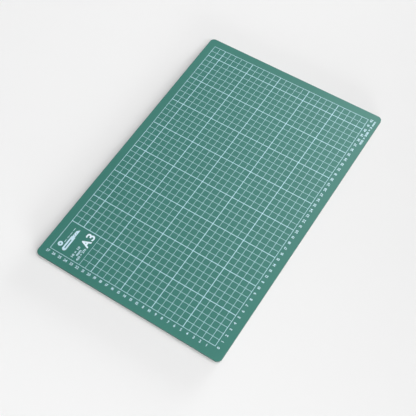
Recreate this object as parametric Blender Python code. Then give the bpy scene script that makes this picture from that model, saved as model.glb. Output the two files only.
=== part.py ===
"""Self-healing cutting mat of the A3 class, 450 x 300 x 3 mm, lying with its printed side up.

Metres. +X runs along the long edge, +Y along the short edge and +Z out of the printed face. The origin
is the centre of the underside, so the mat stands on Z = 0.

The mat is a hot-pressed laminate of five PVC plies: a soft skin on each face, which closes again over a
knife cut, two cushion plies, and a stiff core that keeps it flat. The cutting skin carries a
screen-printed centimetre field. The ink is a thin film, made here as the field's frame with its bold
rules, the two characters of the paper size, and two plain marks in the field's title panel.
"""

import math

import bmesh
import bpy

MM = 0.001

# The sheet
MAT_LENGTH = 450 * MM
MAT_WIDTH = 300 * MM
CORNER_RADIUS = 7 * MM
CORNER_SEGMENTS = 10
RIM_ROUNDING = 0.2 * MM
RIM_SEGMENTS = 2

# The laminate
SKIN_PLY = 0.50 * MM
CUSHION_PLY = 0.55 * MM
CORE_PLY = 0.70 * MM
BOND_LINE = 0.05 * MM

# The printed field
CELL = 10 * MM
CELLS_LONG = 42
CELLS_SHORT = 27
BOLD_EVERY = 5
PANEL_CELLS = 5
NUMBERED_MARGIN = 17 * MM
FRAME_RULE = 0.65 * MM
BOLD_RULE = 0.90 * MM
FINE_RULE = 0.50 * MM
INK_FILM = 0.04 * MM
INK_GAP = 0.01 * MM

FIELD_LENGTH = CELLS_LONG * CELL
FIELD_WIDTH = CELLS_SHORT * CELL
FIELD_X = NUMBERED_MARGIN - MAT_LENGTH / 2
FIELD_Y = NUMBERED_MARGIN - MAT_WIDTH / 2
PANEL_SIDE = PANEL_CELLS * CELL

# The sheet's plies in order from the bench up: name, thickness and material
PLIES = (
    ("underside_skin", SKIN_PLY, "skin_green"),
    ("lower_cushion_ply", CUSHION_PLY, "cushion_green"),
    ("stiff_core_ply", CORE_PLY, "core_green"),
    ("upper_cushion_ply", CUSHION_PLY, "cushion_green"),
    ("cutting_skin", SKIN_PLY, "skin_green"),
)

# Each material: sRGB colour, roughness and metallic value
FINISHES = {
    "skin_green": ((0.28, 0.51, 0.46), 0.55, 0.0),
    "cushion_green": ((0.24, 0.45, 0.40), 0.65, 0.0),
    "core_green": ((0.18, 0.36, 0.32), 0.50, 0.0),
    "white_ink": ((0.90, 0.95, 0.94), 0.45, 0.0),
}


def clear_scene():
    for obj in list(bpy.data.objects):
        bpy.data.objects.remove(obj)


def linear(channel):
    """A colour channel from sRGB to the linear value that a shader takes."""
    if channel <= 0.04045:
        return channel / 12.92
    return ((channel + 0.055) / 1.055) ** 2.4


def material(name):
    found = bpy.data.materials.get(name)
    if found:
        return found
    colour, roughness, metallic = FINISHES[name]
    made = bpy.data.materials.new(name)
    made.use_nodes = True
    shader = made.node_tree.nodes["Principled BSDF"]
    shader.inputs["Base Color"].default_value = (*map(linear, colour), 1.0)
    shader.inputs["Roughness"].default_value = roughness
    shader.inputs["Metallic"].default_value = metallic
    return made


def add_object(name, data, material_name):
    obj = bpy.data.objects.new(name, data)
    obj.data.materials.append(material(material_name))
    bpy.context.scene.collection.objects.link(obj)
    return obj


def add_mesh(name, bm, material_name):
    mesh = bpy.data.meshes.new(name)
    bm.to_mesh(mesh)
    bm.free()
    return add_object(name, mesh, material_name)


def thicken(bm, height):
    """Turns the flat faces of bm into closed solids that stand height above them."""
    grown = bmesh.ops.extrude_face_region(bm, geom=bm.faces[:])
    lifted = [item for item in grown["geom"] if isinstance(item, bmesh.types.BMVert)]
    bmesh.ops.translate(bm, verts=lifted, vec=(0, 0, height))
    bmesh.ops.recalc_face_normals(bm, faces=bm.faces[:])


def round_rim(bm, height):
    """Rounds the edges that go round the sheet at one height."""
    rim = [
        edge
        for edge in bm.edges
        if all(abs(vert.co.z - height) < 0.01 * MM for vert in edge.verts)
    ]
    bmesh.ops.bevel(
        bm,
        geom=rim,
        offset=RIM_ROUNDING,
        segments=RIM_SEGMENTS,
        profile=0.5,
        affect="EDGES",
    )


def make_ply(name, thickness, material_name):
    """One sheet of the laminate, with its underside at the object's origin."""
    bm = bmesh.new()
    corners = [
        bm.verts.new((side_x * MAT_LENGTH / 2, side_y * MAT_WIDTH / 2, 0))
        for side_x, side_y in ((-1, -1), (1, -1), (1, 1), (-1, 1))
    ]
    bm.faces.new(corners)
    bmesh.ops.bevel(
        bm,
        geom=corners,
        offset=CORNER_RADIUS,
        segments=CORNER_SEGMENTS,
        profile=0.5,
        affect="VERTICES",
    )
    thicken(bm, thickness)
    if name == "underside_skin":
        round_rim(bm, 0)
    if name == "cutting_skin":
        round_rim(bm, thickness)
    return add_mesh(name, bm, material_name)


def make_laminate():
    """Stacks the plies on Z = 0 and returns the height of the cutting face."""
    base = 0
    for name, thickness, material_name in PLIES:
        ply = make_ply(name, thickness, material_name)
        ply.location.z = base
        base += thickness + BOND_LINE
    return base - BOND_LINE


def rule_strips(cells):
    """The (low, high) sides of the frame and the bold rules across one direction of the field."""
    strips = []
    for count in range(cells + 1):
        on_frame = count in (0, cells)
        if on_frame or count % BOLD_EVERY == 0:
            half = (FRAME_RULE if on_frame else BOLD_RULE) / 2
            strips.append((count * CELL - half, count * CELL + half))
    return strips


def within(strips, place):
    return any(low < place < high for low, high in strips)


def make_ruled_frame(height):
    """The field's frame and bold rules as one film, left open over the title panel."""
    columns = rule_strips(CELLS_LONG)
    rows = rule_strips(CELLS_SHORT)
    panel_y = FIELD_WIDTH - PANEL_SIDE
    panel_foot = (panel_y - FINE_RULE / 2, panel_y + FINE_RULE / 2)

    def inked(x, y):
        in_panel = columns[0][1] < x < columns[1][0] and panel_foot[0] < y < rows[-1][0]
        if in_panel:
            return y < panel_foot[1]
        return within(columns, x) or within(rows, y)

    xs = sorted(side for strip in columns for side in strip)
    ys = sorted(side for strip in (*rows, panel_foot) for side in strip)
    bm = bmesh.new()
    points = {}

    def point(x, y):
        if (x, y) not in points:
            points[x, y] = bm.verts.new((x, y, 0))
        return points[x, y]

    for left, right in zip(xs, xs[1:]):
        for low, high in zip(ys, ys[1:]):
            if inked((left + right) / 2, (low + high) / 2):
                corners = ((left, low), (right, low), (right, high), (left, high))
                bm.faces.new([point(*corner) for corner in corners])
    thicken(bm, INK_FILM)
    frame = add_mesh("ruled_frame", bm, "white_ink")
    frame.location = (FIELD_X, FIELD_Y, height)


def print_character(name, character, left, foot, width, height, weight):
    """One character of ink, made bolder by weight, that fills the width from left and stands on foot."""
    cap_height = 0.7
    font = bpy.data.curves.new(name, "FONT")
    font.body = character
    font.offset = weight
    font.resolution_u = 6
    glyph = add_object(name, font, "white_ink")
    bpy.context.view_layer.update()
    low_x, low_y = (min(corner[axis] for corner in glyph.bound_box) for axis in (0, 1))
    scale_x = width / glyph.dimensions.x
    scale_y = height / (cap_height + 2 * weight)
    glyph.scale = (scale_x, scale_y, 1)
    font.extrude = INK_FILM / 2
    glyph.location = (FIELD_X + left - low_x * scale_x, FIELD_Y + foot - low_y * scale_y, 0)
    return glyph


def print_outline(name, outlines):
    """One flat film of ink: the first outline is its edge and any others are holes in it."""
    curve = bpy.data.curves.new(name, "CURVE")
    curve.dimensions = "2D"
    curve.fill_mode = "BOTH"
    curve.extrude = INK_FILM / 2
    for outline in outlines:
        spline = curve.splines.new("POLY")
        spline.points.add(len(outline) - 1)
        for place, (x, y) in zip(spline.points, outline):
            place.co = (x, y, 0, 1)
        spline.use_cyclic_u = True
    mark = add_object(name, curve, "white_ink")
    mark.location = (FIELD_X, FIELD_Y, 0)
    return mark


def circle(centre_x, centre_y, radius, count):
    turns = [math.tau * step / count for step in range(count)]
    return [
        (centre_x + radius * math.cos(turn), centre_y + radius * math.sin(turn))
        for turn in turns
    ]


def box(left, right, low, high, lean=0):
    """A four-sided outline whose upper side is pushed sideways by lean."""
    return [(left, low), (right, low), (right + lean, high), (left + lean, high)]


def make_panel_marks(height):
    """A paper size, a snap-off knife and a round blade: plain marks that fill the title panel."""
    size_foot = 225.3 * MM
    size_height = 13.2 * MM
    letter = print_character(
        "size_letter", "A", 25.4 * MM, size_foot, 11.6 * MM, size_height, weight=0.036
    )
    digit = print_character(
        "size_digit", "3", 38.4 * MM, size_foot, 8.1 * MM, size_height, weight=0.02
    )

    knife_mid = 252.6 * MM
    handle = 3.2 * MM
    blade = 2.2 * MM
    back, collar, heel, point = 6.0 * MM, 30.0 * MM, 39.5 * MM, 43.5 * MM
    end_round = 2.0 * MM
    knife = print_outline(
        "knife_mark",
        (
            [
                (back + end_round, knife_mid - handle),
                (collar, knife_mid - handle),
                (collar, knife_mid - blade),
                (point, knife_mid - blade),
                (heel, knife_mid + blade),
                (collar, knife_mid + blade),
                (collar, knife_mid + handle),
                (back + end_round, knife_mid + handle),
                (back, knife_mid + handle - end_round),
                (back, knife_mid - handle + end_round),
            ],
            box(10 * MM, 25 * MM, knife_mid - 0.8 * MM, knife_mid + 0.8 * MM),
            box(31.6 * MM, 32.2 * MM, knife_mid - 1.4 * MM, knife_mid + 1.4 * MM, 2 * MM),
            box(35.2 * MM, 35.8 * MM, knife_mid - 1.4 * MM, knife_mid + 1.4 * MM, 2 * MM),
        ),
    )

    disc_x, disc_y = 12.5 * MM, 262.0 * MM
    disc = print_outline(
        "disc_mark",
        (circle(disc_x, disc_y, 3.8 * MM, 32), circle(disc_x, disc_y, 1.1 * MM, 16)),
    )
    for mark in (letter, digit, knife, disc):
        mark.location.z = height + INK_FILM / 2


def make_mat():
    clear_scene()
    ink_base = make_laminate() + INK_GAP
    make_ruled_frame(ink_base)
    make_panel_marks(ink_base)


make_mat()
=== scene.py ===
# %% [markdown]
# # A self-healing cutting mat
#
# A cutting mat is a sandwich of PVC sheets: a soft skin on each face that closes again over a knife
# cut, two cushion plies, and a stiff core that keeps the mat flat. A centimetre field is
# screen-printed on the top skin. This lesson takes the mat's frame as it is, cuts the plies with the
# edges that a die leaves, prints the whole field as a real film of ink, gives each sheet its own
# plastic, and lights the mat softly on pale paper.

# %% Load the fixed frame
import math

import bpy
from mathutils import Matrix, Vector


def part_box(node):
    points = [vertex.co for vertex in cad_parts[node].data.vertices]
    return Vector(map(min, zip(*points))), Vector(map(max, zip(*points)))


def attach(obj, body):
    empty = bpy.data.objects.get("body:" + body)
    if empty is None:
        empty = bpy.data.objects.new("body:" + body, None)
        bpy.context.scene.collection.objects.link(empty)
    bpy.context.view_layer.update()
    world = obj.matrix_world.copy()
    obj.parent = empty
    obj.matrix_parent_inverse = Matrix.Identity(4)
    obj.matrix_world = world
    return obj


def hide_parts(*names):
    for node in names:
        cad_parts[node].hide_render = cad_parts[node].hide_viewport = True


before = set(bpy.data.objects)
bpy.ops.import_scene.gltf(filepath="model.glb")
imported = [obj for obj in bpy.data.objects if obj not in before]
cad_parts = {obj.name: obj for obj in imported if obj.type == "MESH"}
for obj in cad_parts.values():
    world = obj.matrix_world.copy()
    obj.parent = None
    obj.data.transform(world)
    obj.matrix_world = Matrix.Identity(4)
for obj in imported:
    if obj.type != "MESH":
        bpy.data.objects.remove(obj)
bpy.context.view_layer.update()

print("in the frame:", ", ".join(sorted(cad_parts)))

# %% [markdown]
# ## Sizes that everything follows
#
# The mat is drawn once, in the frame, so the field's corner, its cell and the height of the ink are
# read from there. The printed field starts at the corner where the two rows of numerals meet, and its
# cells are one centimetre. Rules are printed in three widths: fine ones for each centimetre, bold ones
# for each fifth, and the field's own outline in between.

# %% Read the field from the frame
MM = 0.001
CELLS_LONG = 42
CELLS_SHORT = 27
BOLD_EVERY = 5
PANEL_CELLS = 5
FINE_RULE = 0.50 * MM
BOLD_RULE = 0.98 * MM
FRAME_RULE = 0.65 * MM

film_low, film_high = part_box("ruled_frame")
skin_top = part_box("cutting_skin")[1].z
CELL = (film_high.x - film_low.x - FRAME_RULE) / CELLS_LONG
FIELD_LONG = CELLS_LONG * CELL
FIELD_SHORT = CELLS_SHORT * CELL
FIELD_X = film_low.x + FRAME_RULE / 2
FIELD_Y = film_low.y + FRAME_RULE / 2
INK_BITE = 0.005 * MM
INK_FOOT = skin_top - INK_BITE
INK_FILM = film_high.z - INK_FOOT
print(f"cell {CELL / MM:.3f} mm, field corner at {FIELD_X / MM:.1f}, {FIELD_Y / MM:.1f} mm")

# %% [markdown]
# ## Working in edit mode from a script
#
# An operator acts on whatever is selected. So each step first picks its vertices, edges or faces by
# where they are, and then runs the operator on them, just as one would with box select.


# %% Helpers for picking
SAME_PLACE = 0.01 * MM


def deselect():
    if bpy.context.object and bpy.context.object.mode != "OBJECT":
        bpy.ops.object.mode_set(mode="OBJECT")
    bpy.ops.object.select_all(action="DESELECT")


def activate(piece):
    deselect()
    piece.select_set(True)
    bpy.context.view_layer.objects.active = piece


def pick(piece, kind, test):
    """Enters edit mode with exactly the vertices, edges or faces of piece that pass the test."""
    activate(piece)
    mesh = piece.data
    parts = {"VERT": mesh.vertices, "EDGE": mesh.edges, "FACE": mesh.polygons}
    for group in parts.values():
        group.foreach_set("select", [False] * len(group))
    for part in parts[kind]:
        part.select = test(part)
    bpy.context.tool_settings.mesh_select_mode = [kind == name for name in parts]
    bpy.ops.object.mode_set(mode="EDIT")


def near(value, target):
    return abs(value - target) < SAME_PLACE


def heights(piece, edge):
    """The heights of an edge's two ends."""
    return [piece.data.vertices[end].co.z for end in edge.vertices]


# %% Helpers for finishing
DOUBLED = 0.0001 * MM


def close_up(piece):
    """Joins doubled points, removes slivers without area and turns every face outwards."""
    activate(piece)
    bpy.ops.object.mode_set(mode="EDIT")
    bpy.ops.mesh.select_all(action="SELECT")
    bpy.ops.mesh.remove_doubles(threshold=DOUBLED)
    bpy.ops.mesh.dissolve_degenerate(threshold=DOUBLED)
    bpy.ops.mesh.normals_make_consistent(inside=False)
    bpy.ops.object.mode_set(mode="OBJECT")


def put_down(piece, name):
    """Moves the piece's place into its mesh, so that its object sits at the origin, and names it."""
    activate(piece)
    bpy.ops.object.transform_apply(location=True, rotation=True, scale=True)
    piece.name = name
    piece.data.name = name
    return piece


def smooth_by_area(piece, sharp_angle):
    """Smooths the rims but lets each broad face keep its own flat normal."""
    activate(piece)
    bpy.ops.object.shade_smooth_by_angle(angle=sharp_angle)
    bpy.ops.object.modifier_add(type="WEIGHTED_NORMAL")
    bpy.context.object.modifiers[-1].keep_sharp = True
    bpy.ops.object.modifier_apply(modifier=bpy.context.object.modifiers[-1].name)


# %% [markdown]
# ## The five plies
#
# The sheets are bonded first and die-cut together. The blade drags the soft cushions in a little and
# rounds the skins over, so on the real cut edge one can count the sheets by the shallow grooves
# between them. A plane of the ply's size gets its four corners rounded by a vertex bevel, is extruded
# to its thickness, and then its rims are bevelled: a wide rounding on the two outer rims, and a
# narrow one on each rim that meets a neighbour.

# %% Cut one ply to its outline
CORNER_RADIUS = 7.0 * MM
CORNER_STEPS = 16
RIM_STEPS = 3
SMOOTH_UP_TO = math.radians(35)
BOND_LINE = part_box("lower_cushion_ply")[0].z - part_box("underside_skin")[1].z


def cut_ply(name, drawn_in, foot_round, top_round):
    """One sheet of the laminate, drawn in a little at its edge and rounded at both rims."""
    low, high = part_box(name)
    foot = low.z if near(low.z, 0) else low.z - BOND_LINE / 2
    top = high.z if near(high.z, skin_top) else high.z + BOND_LINE / 2
    middle = (low + high) / 2
    deselect()
    bpy.ops.mesh.primitive_plane_add(size=1, location=(middle.x, middle.y, foot))
    ply = bpy.context.object
    ply.scale = (high.x - low.x - 2 * drawn_in, high.y - low.y - 2 * drawn_in, 1)
    put_down(ply, name.replace("_ply", "") + "_sheet")
    pick(ply, "VERT", lambda point: True)
    bpy.ops.mesh.bevel(offset=CORNER_RADIUS - drawn_in, segments=CORNER_STEPS, affect="VERTICES")
    bpy.ops.mesh.select_all(action="SELECT")
    bpy.ops.mesh.extrude_region_move(TRANSFORM_OT_translate={"value": (0, 0, top - foot)})
    close_up(ply)
    for height, rounding in ((foot, foot_round), (top, top_round)):
        pick(ply, "EDGE", lambda edge: all(near(z, height) for z in heights(ply, edge)))
        bpy.ops.mesh.bevel(offset=rounding, segments=RIM_STEPS, affect="EDGES")
        bpy.ops.object.mode_set(mode="OBJECT")
    close_up(ply)
    smooth_by_area(ply, SMOOTH_UP_TO)
    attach(ply, "root")
    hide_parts(name)
    print(f"{ply.name}: {foot / MM:.3f} to {top / MM:.3f} mm, {len(ply.data.polygons)} faces")
    return ply


# %% Stack the plies
OUTER_RIM = 0.22 * MM
INNER_RIM = 0.05 * MM
CUSHION_DRAG = 0.07 * MM
CORE_DRAG = 0.02 * MM
plies = {
    "underside": cut_ply("underside_skin", 0, OUTER_RIM, INNER_RIM),
    "lower": cut_ply("lower_cushion_ply", CUSHION_DRAG, INNER_RIM, INNER_RIM),
    "core": cut_ply("stiff_core_ply", CORE_DRAG, INNER_RIM, INNER_RIM),
    "upper": cut_ply("upper_cushion_ply", CUSHION_DRAG, INNER_RIM, INNER_RIM),
    "cutting": cut_ply("cutting_skin", 0, INNER_RIM, OUTER_RIM),
}

# %% [markdown]
# ## The ruled field
#
# On the real mat one screen prints all the rules in a single film of ink. Drawing some seventy bars
# and joining them would be slow and leave crossings to clean. A grid primitive already has a face for
# each square centimetre, so insetting all of its faces at once leaves a band along every rule. The
# squares in the middle are deleted, and what is left is the ink. The title panel's cells are
# dissolved first, so that no rule crosses it.

# %% Lay out the cells and leave the title panel open
deselect()
bpy.ops.mesh.primitive_grid_add(
    x_subdivisions=CELLS_LONG, y_subdivisions=CELLS_SHORT, size=1, location=(0, 0, 0)
)
field = bpy.context.object
field.scale = (FIELD_LONG, FIELD_SHORT, 1)
field.location = (FIELD_X + FIELD_LONG / 2, FIELD_Y + FIELD_SHORT / 2, INK_FOOT)
put_down(field, "printed_field")

PANEL_SIDE = PANEL_CELLS * CELL
PANEL_RIGHT = FIELD_X + PANEL_SIDE
PANEL_FOOT = FIELD_Y + FIELD_SHORT - PANEL_SIDE
pick(field, "FACE", lambda face: face.center.x < PANEL_RIGHT and face.center.y > PANEL_FOOT)
bpy.ops.mesh.dissolve_faces()
print(f"title panel: {PANEL_SIDE / MM:.0f} mm square")

# %% Inset every cell and keep only the bands between
bpy.ops.mesh.select_all(action="SELECT")
bpy.ops.mesh.inset(thickness=FINE_RULE / 2, use_individual=True)
bpy.ops.mesh.delete(type="FACE")
bpy.ops.object.mode_set(mode="OBJECT")
print("bands of ink:", len(field.data.polygons))

# %% [markdown]
# Every band is now as wide as a fine rule. A bold rule or a side of the outline is made by picking
# the row of points on one of its sides and sliding it outwards by the missing part of the width.


# %% Widen the bold rules and the outline
def slide_row(axis, place, shift):
    """Slides the row of points at one place along axis 0 (X) or 1 (Y)."""
    move = [0, 0, 0]
    move[axis] = shift
    pick(field, "VERT", lambda point: near(point.co[axis], place))
    bpy.ops.transform.translate(value=move)
    bpy.ops.object.mode_set(mode="OBJECT")


for axis, start, cells in ((0, FIELD_X, CELLS_LONG), (1, FIELD_Y, CELLS_SHORT)):
    for count in range(BOLD_EVERY, cells, BOLD_EVERY):
        for side in (-1, 1):
            rule_side = start + count * CELL + side * FINE_RULE / 2
            slide_row(axis, rule_side, side * (BOLD_RULE - FINE_RULE) / 2)
    for outline, outwards in ((start, -1), (start + cells * CELL, 1)):
        slide_row(axis, outline - outwards * FINE_RULE / 2, -outwards * (FRAME_RULE - FINE_RULE) / 2)
        slide_row(axis, outline, outwards * FRAME_RULE / 2)
print("rules:", [round(rule / MM, 2) for rule in (FINE_RULE, BOLD_RULE, FRAME_RULE)], "mm wide")

# %% Give the film its thickness
pick(field, "FACE", lambda face: True)
bpy.ops.mesh.extrude_region_move(TRANSFORM_OT_translate={"value": (0, 0, INK_FILM)})
close_up(field)
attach(field, "root")
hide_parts("ruled_frame")
print("field film:", [round(side / MM, 3) for side in field.dimensions], "mm")

# %% [markdown]
# ## The numerals
#
# Two edges carry a bold numeral at each centimetre: along the long edge they stand upright, and along
# the short edge they are turned a quarter, so that they read from the corner where a ruler is laid.
# Each of the ten digits is drawn once, from Blender's own font thickened a little, and made a closed
# sliver of ink. Every numeral is then set from copies of them, like type.

# %% Cut the ten digits once
DIGIT_CAP = 4.0 * MM
DIGIT_WEIGHT = 0.022
CAP_OF_EM = 0.70
CURVE_STEPS = 3


def set_type(words, cap_height, weight, name):
    """Makes a closed film of ink of the words, standing on Y = 0 with its left side at X = 0."""
    deselect()
    bpy.ops.object.text_add()
    line = bpy.context.object
    line.data.body = words
    line.data.size = cap_height / (CAP_OF_EM + 2 * weight)
    line.data.offset = weight * line.data.size
    line.data.resolution_u = CURVE_STEPS
    line.data.extrude = INK_FILM / 2
    bpy.ops.object.convert(target="MESH")
    piece = bpy.context.object
    low = [min(point.co[axis] for point in piece.data.vertices) for axis in range(3)]
    piece.location = (-low[0], -low[1], INK_FOOT - low[2])
    put_down(piece, name)
    close_up(piece)
    return piece


digits = {}
for character in "0123456789":
    digits[character] = set_type(character, DIGIT_CAP, DIGIT_WEIGHT, f"digit_{character}")
DIGIT_WIDTHS = {character: piece.dimensions.x for character, piece in digits.items()}
print("digit widths:", {key: round(width / MM, 2) for key, width in DIGIT_WIDTHS.items()})

# %% Helpers for setting numerals
DIGIT_GAP = 0.25 * MM
LONG_ROW = 5.0 * MM
SHORT_ROW = 4.75 * MM


def copy_to(piece, place, turn=0):
    """A copy of a piece of type, with its own mesh, at a place."""
    copy = piece.copy()
    copy.data = piece.data.copy()
    copy.location = place
    copy.rotation_euler.z = turn
    bpy.context.scene.collection.objects.link(copy)
    return copy


def set_numeral(number, centre_x, centre_y, turned):
    """Copies the digits of one number side by side and centres them on a point."""
    characters = str(number)
    total = sum(DIGIT_WIDTHS[c] for c in characters) + DIGIT_GAP * (len(characters) - 1)
    along = -total / 2
    copies = []
    for character in characters:
        if turned:
            place = (centre_x - DIGIT_CAP / 2, centre_y - along, 0)
            copies.append(copy_to(digits[character], place, turn=-math.pi / 2))
        else:
            place = (centre_x + along, centre_y - DIGIT_CAP / 2, 0)
            copies.append(copy_to(digits[character], place))
        along += DIGIT_WIDTHS[character] + DIGIT_GAP
    return copies


def join_row(copies, name):
    """Joins the copies into one piece of ink."""
    deselect()
    for copy in copies:
        copy.select_set(True)
    bpy.context.view_layer.objects.active = copies[0]
    bpy.ops.object.transform_apply(location=True, rotation=True, scale=True)
    bpy.ops.object.join()
    row = put_down(bpy.context.object, name)
    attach(row, "root")
    print(f"{name}: {len(copies)} pieces of type, {len(row.data.polygons)} faces")
    return row


# %% Set both rows
long_copies = []
for count in range(CELLS_LONG + 1):
    long_copies += set_numeral(count, FIELD_X + count * CELL, FIELD_Y - LONG_ROW, turned=False)
long_numerals = join_row(long_copies, "long_edge_numerals")

short_copies = []
for count in range(1, CELLS_SHORT + 1):
    short_copies += set_numeral(count, FIELD_X - SHORT_ROW, FIELD_Y + count * CELL, turned=True)
short_numerals = join_row(short_copies, "short_edge_numerals")

for piece in digits.values():
    bpy.data.objects.remove(piece)

# %% [markdown]
# ## Small print and marks
#
# The title panel names the paper size that the field covers, and has a few plain signs: a snap-off
# knife, and a round blade that runs along a cut line. The small print gives plain sizes in
# millimetres, which is what a user of the mat would look up. Each line is set like the digits and
# then drawn out to its width.

# %% Set the small print
LINE_WEIGHT = 0.030


def set_line(words, cap_height, left, right, foot, name):
    """One line of small print that runs from left to right in the field's own measure."""
    piece = set_type(words, cap_height, LINE_WEIGHT, name)
    piece.scale.x = (right - left) / piece.dimensions.x
    piece.location = (FIELD_X + left, FIELD_Y + foot, 0)
    put_down(piece, name)
    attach(piece, "root")
    print(f"{name}: {piece.dimensions.x / MM:.1f} mm long")
    return piece


# The words, cap height, left end, right end, foot and name of each line
small_print = [
    set_line("10 × 10", 3.6 * MM, 4.0 * MM, 22.4 * MM, 234.2 * MM, "cell_size_line"),
    set_line("mm", 4.3 * MM, 9.0 * MM, 19.0 * MM, 229.6 * MM, "unit_line"),
    set_line("420 × 270", 3.3 * MM, 3.0 * MM, 23.8 * MM, 225.2 * MM, "field_size_line"),
    set_line("450 × 300 × 3 mm", 3.5 * MM, 373.4 * MM, 421.6 * MM, -12.0 * MM, "mat_size_line"),
]

# %% [markdown]
# A dash is a bar with round ends. It is made from a cube of its size: bevelling the four upright
# edges by nearly half its width turns the square ends into round ones. One dash is made, and the cut
# line is copies of it in a row.

# %% Make one dash
DASH_LONG = 5.0 * MM
DASH_WIDE = 0.8 * MM
DASH_ROUNDING = 0.45 * DASH_WIDE
DASH_ROUND_STEPS = 4
deselect()
bpy.ops.mesh.primitive_cube_add(size=1, location=(0, 0, 0))
dash = bpy.context.object
dash.scale = (DASH_LONG, DASH_WIDE, INK_FILM)
put_down(dash, "dash")
pick(dash, "EDGE", lambda edge: not near(*heights(dash, edge)))
bpy.ops.mesh.bevel(offset=DASH_ROUNDING, segments=DASH_ROUND_STEPS, affect="EDGES")
close_up(dash)
print("dash:", [round(side / MM, 3) for side in dash.dimensions], "mm")

# %% Print the cut line beside the round blade
DASH_STEP = 6.8 * MM
DASHES = 4
disc_low, disc_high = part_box("disc_mark")
line_y = disc_low.y + DASH_WIDE / 2
line_z = INK_FOOT + INK_FILM / 2
dashes = [
    copy_to(dash, (disc_high.x + DASH_STEP * (count + 0.5), line_y, line_z))
    for count in range(DASHES)
]
cut_line = join_row(dashes, "cut_line")
bpy.data.objects.remove(dash)

# %% [markdown]
# ## Grain, cut edges and ink as shared effects
#
# Three effects return on several pieces, so each is a node group. The pebble grain is pressed into
# the skins by a roller, and the ink lies in it. The die leaves fine upright drag marks on the wall of
# every ply. The ink is a thin film, so its cover varies a little and some green shows through. All
# are far too fine for geometry, so they are patterns on object coordinates.


# %% Short ways to place nodes
def feed(tree, value, socket):
    """Links a socket, or sets a number or a colour."""
    if isinstance(value, bpy.types.NodeSocket):
        tree.links.new(value, socket)
    else:
        socket.default_value = value


def maths(tree, operation, *values):
    node = tree.nodes.new("ShaderNodeMath")
    node.operation = operation
    for value, socket in zip(values, node.inputs):
        feed(tree, value, socket)
    return node.outputs["Value"]


def object_place(tree):
    return tree.nodes.new("ShaderNodeTexCoord").outputs["Object"]


def noise(tree, vector, scale, detail, roughness=0.5):
    """A noise texture on a vector, with scale in turns per metre."""
    node = tree.nodes.new("ShaderNodeTexNoise")
    node.inputs["Detail"].default_value = detail
    node.inputs["Roughness"].default_value = roughness
    tree.links.new(vector, node.inputs["Vector"])
    feed(tree, scale, node.inputs["Scale"])
    return node.outputs["Fac"]


def blend_colours(tree, factor, first, second):
    node = tree.nodes.new("ShaderNodeMix")
    node.data_type = "RGBA"
    feed(tree, factor, node.inputs["Factor"])
    for value, label in ((first, "A"), (second, "B")):
        socket = [entry for entry in node.inputs if entry.name == label and entry.type == "RGBA"][0]
        feed(tree, value, socket)
    return [entry for entry in node.outputs if entry.type == "RGBA"][0]


def new_group(name, inputs, outputs):
    """A shader node group, with the sockets of its input and output nodes."""
    group = bpy.data.node_groups.new(name, "ShaderNodeTree")
    for label, kind, value in inputs:
        socket = group.interface.new_socket(label, in_out="INPUT", socket_type=kind)
        socket.default_value = value
    for label, kind in outputs:
        group.interface.new_socket(label, in_out="OUTPUT", socket_type=kind)
    enter = group.nodes.new("NodeGroupInput")
    leave = group.nodes.new("NodeGroupOutput")
    return group, enter.outputs, leave.inputs


# %% Build the pebble grain
SKIN_PEBBLES = 1600.0
PEBBLE_DETAIL = 3.0
PEBBLE_ROUGHNESS = 0.6
DRIFTS_PER_METRE = 11.0
DRIFT_DETAIL = 3.0


def build_grain():
    """Height of the pebbles, and a slow drift between 0 and 1 over the sheet."""
    group, enter, leave = new_group(
        "pebble_grain",
        (("Pebbles per metre", "NodeSocketFloat", SKIN_PEBBLES),),
        (("Height", "NodeSocketFloat"), ("Drift", "NodeSocketFloat")),
    )
    place = object_place(group)
    pebbles = noise(group, place, enter["Pebbles per metre"], PEBBLE_DETAIL, PEBBLE_ROUGHNESS)
    group.links.new(pebbles, leave["Height"])
    group.links.new(noise(group, place, DRIFTS_PER_METRE, DRIFT_DETAIL), leave["Drift"])
    return group


grain = build_grain()
print("group:", grain.name)


# %% [markdown]
# The wall is told from the face by its normal. The upward part of it is 1 on the flat face and 0 on
# the upright wall, so a smooth step between two values of it carries the wall round the rim. The step
# starts just off the flat face, so the wall's painted shade also darkens the rounded rim. The drag
# marks are a noise that is stretched along the height.

# %% Build the die-cut wall
# Where the wall mask, with its painted shade, begins and where it is full
WALL_BEGINS = 0.985
WALL_FULL = 0.80
MARKS_PER_METRE = 3000.0
MARK_DETAIL = 3.0
UPRIGHT_SQUEEZE = 0.12


def build_cut_wall():
    """A mask that is 1 on a sheet's upright edge, and the height of the drag marks there."""
    group, enter, leave = new_group(
        "die_cut_wall",
        (("Marks per metre", "NodeSocketFloat", MARKS_PER_METRE),),
        (("Wall", "NodeSocketFloat"), ("Marks", "NodeSocketFloat")),
    )
    source = group.nodes.new("ShaderNodeTexCoord")
    facing = group.nodes.new("ShaderNodeSeparateXYZ")
    group.links.new(source.outputs["Normal"], facing.inputs["Vector"])
    wall = group.nodes.new("ShaderNodeMapRange")
    wall.interpolation_type = "SMOOTHSTEP"
    wall.inputs["From Min"].default_value = WALL_BEGINS
    wall.inputs["From Max"].default_value = WALL_FULL
    group.links.new(maths(group, "ABSOLUTE", facing.outputs["Z"]), wall.inputs["Value"])
    stretch = group.nodes.new("ShaderNodeVectorMath")
    stretch.operation = "MULTIPLY"
    stretch.inputs[1].default_value = (1.0, 1.0, UPRIGHT_SQUEEZE)
    group.links.new(source.outputs["Object"], stretch.inputs[0])
    marks = noise(group, stretch.outputs["Vector"], enter["Marks per metre"], MARK_DETAIL)
    group.links.new(wall.outputs["Result"], leave["Wall"])
    group.links.new(marks, leave["Marks"])
    return group


cut_wall = build_cut_wall()
print("group:", cut_wall.name)


# %% Build the film of ink
USUAL_UNEVENNESS = 0.15
MEAN_COVER = 0.97
MOTTLES_PER_METRE = 900.0
MOTTLE_DETAIL = 4.0


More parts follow.
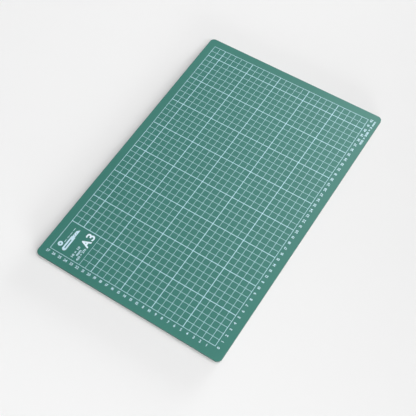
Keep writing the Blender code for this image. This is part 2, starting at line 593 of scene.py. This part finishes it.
def build_film():
    """The colour of a film of ink that covers its ground unevenly."""
    group, enter, leave = new_group(
        "ink_film",
        (
            ("Ink", "NodeSocketColor", (1, 1, 1, 1)),
            ("Ground", "NodeSocketColor", (0, 0, 0, 1)),
            ("Unevenness", "NodeSocketFloat", USUAL_UNEVENNESS),
        ),
        (("Color", "NodeSocketColor"), ("Cover", "NodeSocketFloat")),
    )
    mottle = noise(group, object_place(group), MOTTLES_PER_METRE, MOTTLE_DETAIL)
    dip = maths(group, "SUBTRACT", mottle, 0.5)
    cover = maths(group, "MULTIPLY_ADD", dip, enter["Unevenness"], MEAN_COVER)
    group.links.new(blend_colours(group, cover, enter["Ground"], enter["Ink"]), leave["Color"])
    group.links.new(cover, leave["Cover"])
    return group


film = build_film()
print("group:", film.name)

# %% [markdown]
# ## Mixing the plastics
#
# All five sheets are PVC, but not the same PVC. The skins are soft and satin with the pebble grain.
# The cushions are softer still and dull. The core is stiff, darker, and cuts clean. Each drifts a
# little in tone, as a calendered sheet does. A skin's cut wall is duller than its face, since the
# torn surface has no sheen, and much darker: that darkness is painted shade along the edge. The walls
# of the cushions and the core are darkened the same way, so their tone is partly their own and partly
# painted shade. Only the walls of the inner plies are ever seen, so their faces take the same colour.


# %% Helpers for the materials
GRAIN_HEIGHT = 0.05 * MM


def add_group(tree, group, **values):
    node = tree.nodes.new("ShaderNodeGroup")
    node.node_tree = group
    for label, value in values.items():
        node.inputs[label.replace("_", " ")].default_value = value
    return node.outputs


def bump(tree, height, strength, underneath=None):
    node = tree.nodes.new("ShaderNodeBump")
    node.inputs["Strength"].default_value = strength
    node.inputs["Distance"].default_value = GRAIN_HEIGHT
    tree.links.new(height, node.inputs["Height"])
    if underneath is not None:
        tree.links.new(underneath, node.inputs["Normal"])
    return node.outputs["Normal"]


def tones(colour, spread):
    """A darker and a paler tone of a colour."""
    return [(*(channel * (1 + side * spread) for channel in colour), 1) for side in (-1, 1)]


# %% Mix a sheet plastic
SHEEN_DRIFT = 0.06
WALL_DULLING = 0.15


def sheet_plastic(name, face, wall, roughness, pebbles, grain_strength, mark_strength):
    """PVC whose face and cut wall differ. face and wall are pairs of a darker and a paler tone; wall
    is painted shade.
    """
    made = bpy.data.materials.new(name)
    made.use_nodes = True
    tree = made.node_tree
    shader = tree.nodes["Principled BSDF"]
    grained = add_group(tree, grain, Pebbles_per_metre=pebbles)
    edge = add_group(tree, cut_wall)
    face_colour = blend_colours(tree, grained["Drift"], *face)
    # The cut wall takes its own far darker tones: painted shade along the edge.
    wall_shade_colour = blend_colours(tree, edge["Marks"], *wall)
    colour = blend_colours(tree, edge["Wall"], face_colour, wall_shade_colour)
    tree.links.new(colour, shader.inputs["Base Color"])
    sheen = maths(tree, "MULTIPLY_ADD", grained["Drift"], SHEEN_DRIFT, roughness - SHEEN_DRIFT / 2)
    dull = maths(tree, "MULTIPLY_ADD", edge["Wall"], WALL_DULLING, sheen)
    tree.links.new(dull, shader.inputs["Roughness"])
    marks = maths(tree, "MULTIPLY", edge["Marks"], edge["Wall"])
    drag = bump(tree, marks, mark_strength)
    tree.links.new(bump(tree, grained["Height"], grain_strength, drag), shader.inputs["Normal"])
    return made


# %% Mix the three plastics
SKIN_GREEN = (0.0335, 0.180, 0.146)
# The wall colours are far darker than the face green: painted shade on the cut edges, and for the
# cushions and the core partly their own darker tone.
SHADED_SKIN_WALL = (0.013, 0.042, 0.034)
SHADED_CUSHION = (0.010, 0.032, 0.026)
SHADED_CORE = (0.007, 0.019, 0.016)
INNER_PEBBLES = 2500.0

skin = sheet_plastic(
    "skin_pvc",
    face=tones(SKIN_GREEN, 0.06),
    wall=tones(SHADED_SKIN_WALL, 0.25),
    roughness=0.50,
    pebbles=SKIN_PEBBLES,
    grain_strength=0.35,
    mark_strength=0.4,
)
cushion = sheet_plastic(
    "cushion_pvc",
    face=tones(SHADED_CUSHION, 0.1),
    wall=tones(SHADED_CUSHION, 0.3),
    roughness=0.6,
    pebbles=INNER_PEBBLES,
    grain_strength=0.3,
    mark_strength=0.6,
)
core = sheet_plastic(
    "core_pvc",
    face=tones(SHADED_CORE, 0.1),
    wall=tones(SHADED_CORE, 0.2),
    roughness=0.45,
    pebbles=INNER_PEBBLES,
    grain_strength=0.2,
    mark_strength=0.3,
)
print("plastics:", ", ".join(plastic.name for plastic in (skin, cushion, core)))

# %% [markdown]
# White ink is the same pot for all the print, but a thin rule holds less of it than a broad letter,
# so the rules look cooler and let some green through. The film has its own softer version of the
# grain, because it fills the hollows between the pebbles.


# %% Mix the ink
COVER_GLOSS = 0.2
INK_GRAIN = 0.25


def screen_ink(name, colour, unevenness, roughness):
    made = bpy.data.materials.new(name)
    made.use_nodes = True
    tree = made.node_tree
    shader = tree.nodes["Principled BSDF"]
    coat = add_group(tree, film, Ink=(*colour, 1), Ground=(*SKIN_GREEN, 1), Unevenness=unevenness)
    grained = add_group(tree, grain, Pebbles_per_metre=SKIN_PEBBLES)
    tree.links.new(coat["Color"], shader.inputs["Base Color"])
    gloss = maths(tree, "MULTIPLY_ADD", coat["Cover"], -COVER_GLOSS, roughness + COVER_GLOSS)
    tree.links.new(gloss, shader.inputs["Roughness"])
    tree.links.new(bump(tree, grained["Height"], INK_GRAIN), shader.inputs["Normal"])
    return made


rule_ink = screen_ink("rule_ink", (0.46, 0.70, 0.79), unevenness=0.20, roughness=0.48)
type_ink = screen_ink("type_ink", (0.55, 0.75, 0.85), unevenness=0.15, roughness=0.48)
letter_ink = screen_ink("letter_ink", (0.74, 0.87, 0.95), unevenness=0.08, roughness=0.46)
print("inks:", ", ".join(ink.name for ink in (rule_ink, type_ink, letter_ink)))


# %% Paint every piece
def paint(piece, material):
    if piece.data.materials:
        piece.data.materials[0] = material
    else:
        piece.data.materials.append(material)
    print(f"{piece.name}: {material.name}")


for name in ("underside", "cutting"):
    paint(plies[name], skin)
for name in ("lower", "upper"):
    paint(plies[name], cushion)
paint(plies["core"], core)
paint(field, rule_ink)
for piece in (long_numerals, short_numerals, cut_line, *small_print):
    paint(piece, type_ink)
for name in ("knife_mark", "disc_mark"):
    paint(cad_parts[name], type_ink)
for name in ("size_letter", "size_digit"):
    paint(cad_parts[name], letter_ink)

# %% [markdown]
# ## The studio
#
# The mat lies on pale paper. It is only three millimetres thick, so its shadow comes from light that
# nearly grazes the paper: low strips and panels stand before the mat's near long edge and its right
# short edge, and softboxes hang above. The paper ends before the strips.

# %% Set out the paper
FLOOR_SIDE = 16.0
FLOOR_FRONT = 1.4
FLOOR_HEIGHT = 0.02 * MM
deselect()
floor_shift = FLOOR_SIDE / 2 - FLOOR_FRONT
floor_place = (-floor_shift, floor_shift, FLOOR_HEIGHT)
bpy.ops.mesh.primitive_plane_add(size=FLOOR_SIDE, location=floor_place)
floor = put_down(bpy.context.object, "floor")
print("paper:", [round(side, 1) for side in floor.dimensions], "m")

# %% [markdown]
# Paper near the lights would look brighter than paper behind the mat. So its own tone rises slowly
# away from them: a dot product of the place with one direction is that slope, and two limits stop it.

# %% Tone the paper
PAPER_TONE = 0.792
PAPER_DRIFT = (-0.230, 0.389, 0.0)
PAPER_DARKEST = 0.62
PAPER_PALEST = 0.97
PAPER_ROUGHNESS = 0.9
paper = bpy.data.materials.new("pale_paper")
paper.use_nodes = True
tree = paper.node_tree
shader = tree.nodes["Principled BSDF"]
shader.inputs["Roughness"].default_value = PAPER_ROUGHNESS
shader.inputs["Specular IOR Level"].default_value = 0.0
drift = tree.nodes.new("ShaderNodeVectorMath")
drift.operation = "DOT_PRODUCT"
drift.inputs[1].default_value = PAPER_DRIFT
tree.links.new(object_place(tree), drift.inputs[0])
tone = maths(tree, "ADD", drift.outputs["Value"], PAPER_TONE)
tone = maths(tree, "MAXIMUM", tone, PAPER_DARKEST)
tone = maths(tree, "MINIMUM", tone, PAPER_PALEST)
tree.links.new(tone, shader.inputs["Base Color"])
print(f"paper tone: {PAPER_TONE} under the mat's centre")

# %% [markdown]
# Well away from the mat, where the light of the lamps fades, the paper glows a little of its own.

# %% Let the far paper glow
GLOW_FROM = 0.7
GLOW_TO = 2.4
GLOW = 0.5
away = tree.nodes.new("ShaderNodeVectorMath")
away.operation = "LENGTH"
tree.links.new(object_place(tree), away.inputs[0])
glow = tree.nodes.new("ShaderNodeMapRange")
glow.interpolation_type = "SMOOTHSTEP"
glow.inputs["From Min"].default_value = GLOW_FROM
glow.inputs["From Max"].default_value = GLOW_TO
glow.inputs["To Max"].default_value = GLOW
tree.links.new(away.outputs["Value"], glow.inputs["Value"])
tree.links.new(glow.outputs["Result"], shader.inputs["Emission Color"])
shader.inputs["Emission Strength"].default_value = 1.0
paint(floor, paper)


# %% Helpers for hanging lights
LIGHT_DISTANCE = 2.2


def from_side(azimuth):
    """The level direction towards a light; 0 is the near long edge and 90 the right short edge."""
    turn = math.radians(azimuth)
    return Vector((math.sin(turn), -math.cos(turn), 0))


def hang(name, place, target, width, height, power):
    """A rectangular softbox that faces a point."""
    bpy.ops.object.light_add(type="AREA", location=place)
    lamp = bpy.context.object
    lamp.name = name
    lamp.data.shape = "RECTANGLE"
    lamp.data.size = width
    lamp.data.size_y = height
    lamp.data.energy = power
    lamp.visible_camera = False
    lamp.rotation_euler = (Vector(target) - Vector(place)).to_track_quat("-Z", "Y").to_euler()
    print(f"{name}: {power} W")


# %% Stand the strips and panels
STRIP_WIDTH = 1.18
deselect()
# The name, azimuth, lowest and highest angle above the paper, and power in watts of each
for name, azimuth, low, high, power in (
    ("floor_strip_left", -40, 0, 4, 140.0),
    ("floor_strip_right", 80, 0, 4, 187.0),
    ("near_panel", 20, 9, 18, 30.4),
    ("far_panel", -10, 18, 36, 12.9),
):
    foot = LIGHT_DISTANCE * math.tan(math.radians(low))
    head = LIGHT_DISTANCE * math.tan(math.radians(high))
    middle = Vector((0, 0, (foot + head) / 2))
    hang(name, from_side(azimuth) * LIGHT_DISTANCE + middle, middle, STRIP_WIDTH, head - foot, power)

# %% Hang the softboxes
SOFTBOX_RISE = math.radians(50)
SOFTBOX_SIDE = 1.0
for name, azimuth, power in (("left_softbox", -40, 13.5), ("right_softbox", 80, 21.0)):
    level = math.cos(SOFTBOX_RISE) * from_side(azimuth)
    place = LIGHT_DISTANCE * (level + Vector((0, 0, math.sin(SOFTBOX_RISE))))
    hang(name, place, (0, 0, 0), SOFTBOX_SIDE, SOFTBOX_SIDE, power)

# %% [markdown]
# The room's own light is weak from above, so that the softboxes shape the mat. It is strong from
# below the horizon, where the paper hides it, so that the underside can be looked at as well. The
# camera sees a white wall.

# %% Fill the room
ROOM_LIGHT = 0.18
UNDER_LIGHT = 0.9
WALL_TONE = 1.0
world = bpy.data.worlds.new("studio")
bpy.context.scene.world = world
world.use_nodes = True
tree = world.node_tree
direction = tree.nodes.new("ShaderNodeSeparateXYZ")
tree.links.new(tree.nodes.new("ShaderNodeTexCoord").outputs["Generated"], direction.inputs["Vector"])
below = maths(tree, "LESS_THAN", direction.outputs["Z"], 0.0)
room = maths(tree, "MULTIPLY_ADD", below, UNDER_LIGHT - ROOM_LIGHT, ROOM_LIGHT)
seen = tree.nodes.new("ShaderNodeLightPath").outputs["Is Camera Ray"]
lift = maths(tree, "SUBTRACT", WALL_TONE, room)
background = tree.nodes["Background"]
background.inputs["Color"].default_value = (1, 1, 1, 1)
tree.links.new(maths(tree, "MULTIPLY_ADD", seen, lift, room), background.inputs["Strength"])
print(f"room light: {ROOM_LIGHT} above, {UNDER_LIGHT} below")

# %% [markdown]
# The camera looks down on the corner where the numerals start, from so far that the grid's rules
# converge only a little. It is turned about its own axis by a few degrees, as a hand-held one is.

# %% Place the camera
LENS = 75.3
AIM = Vector((-0.0406, -0.0135, 0.003))
DISTANCE = 1.2216
AZIMUTH = math.radians(-53.76)
ELEVATION = math.radians(59.65)
ROLL = math.radians(-3.80)

bpy.ops.object.camera_add()
camera = bpy.context.object
camera.data.lens = LENS
back = Vector(
    (
        math.sin(AZIMUTH) * math.cos(ELEVATION),
        -math.cos(AZIMUTH) * math.cos(ELEVATION),
        math.sin(ELEVATION),
    )
)
camera.location = AIM + DISTANCE * back
camera.rotation_euler = (-back).to_track_quat("-Z", "Y").to_euler()
camera.rotation_euler.rotate_axis("Z", ROLL)
bpy.context.scene.camera = camera
bpy.context.scene.view_settings.view_transform = "Standard"
print("camera at:", [round(side, 3) for side in camera.location], "m")

# %% Finish
deselect()
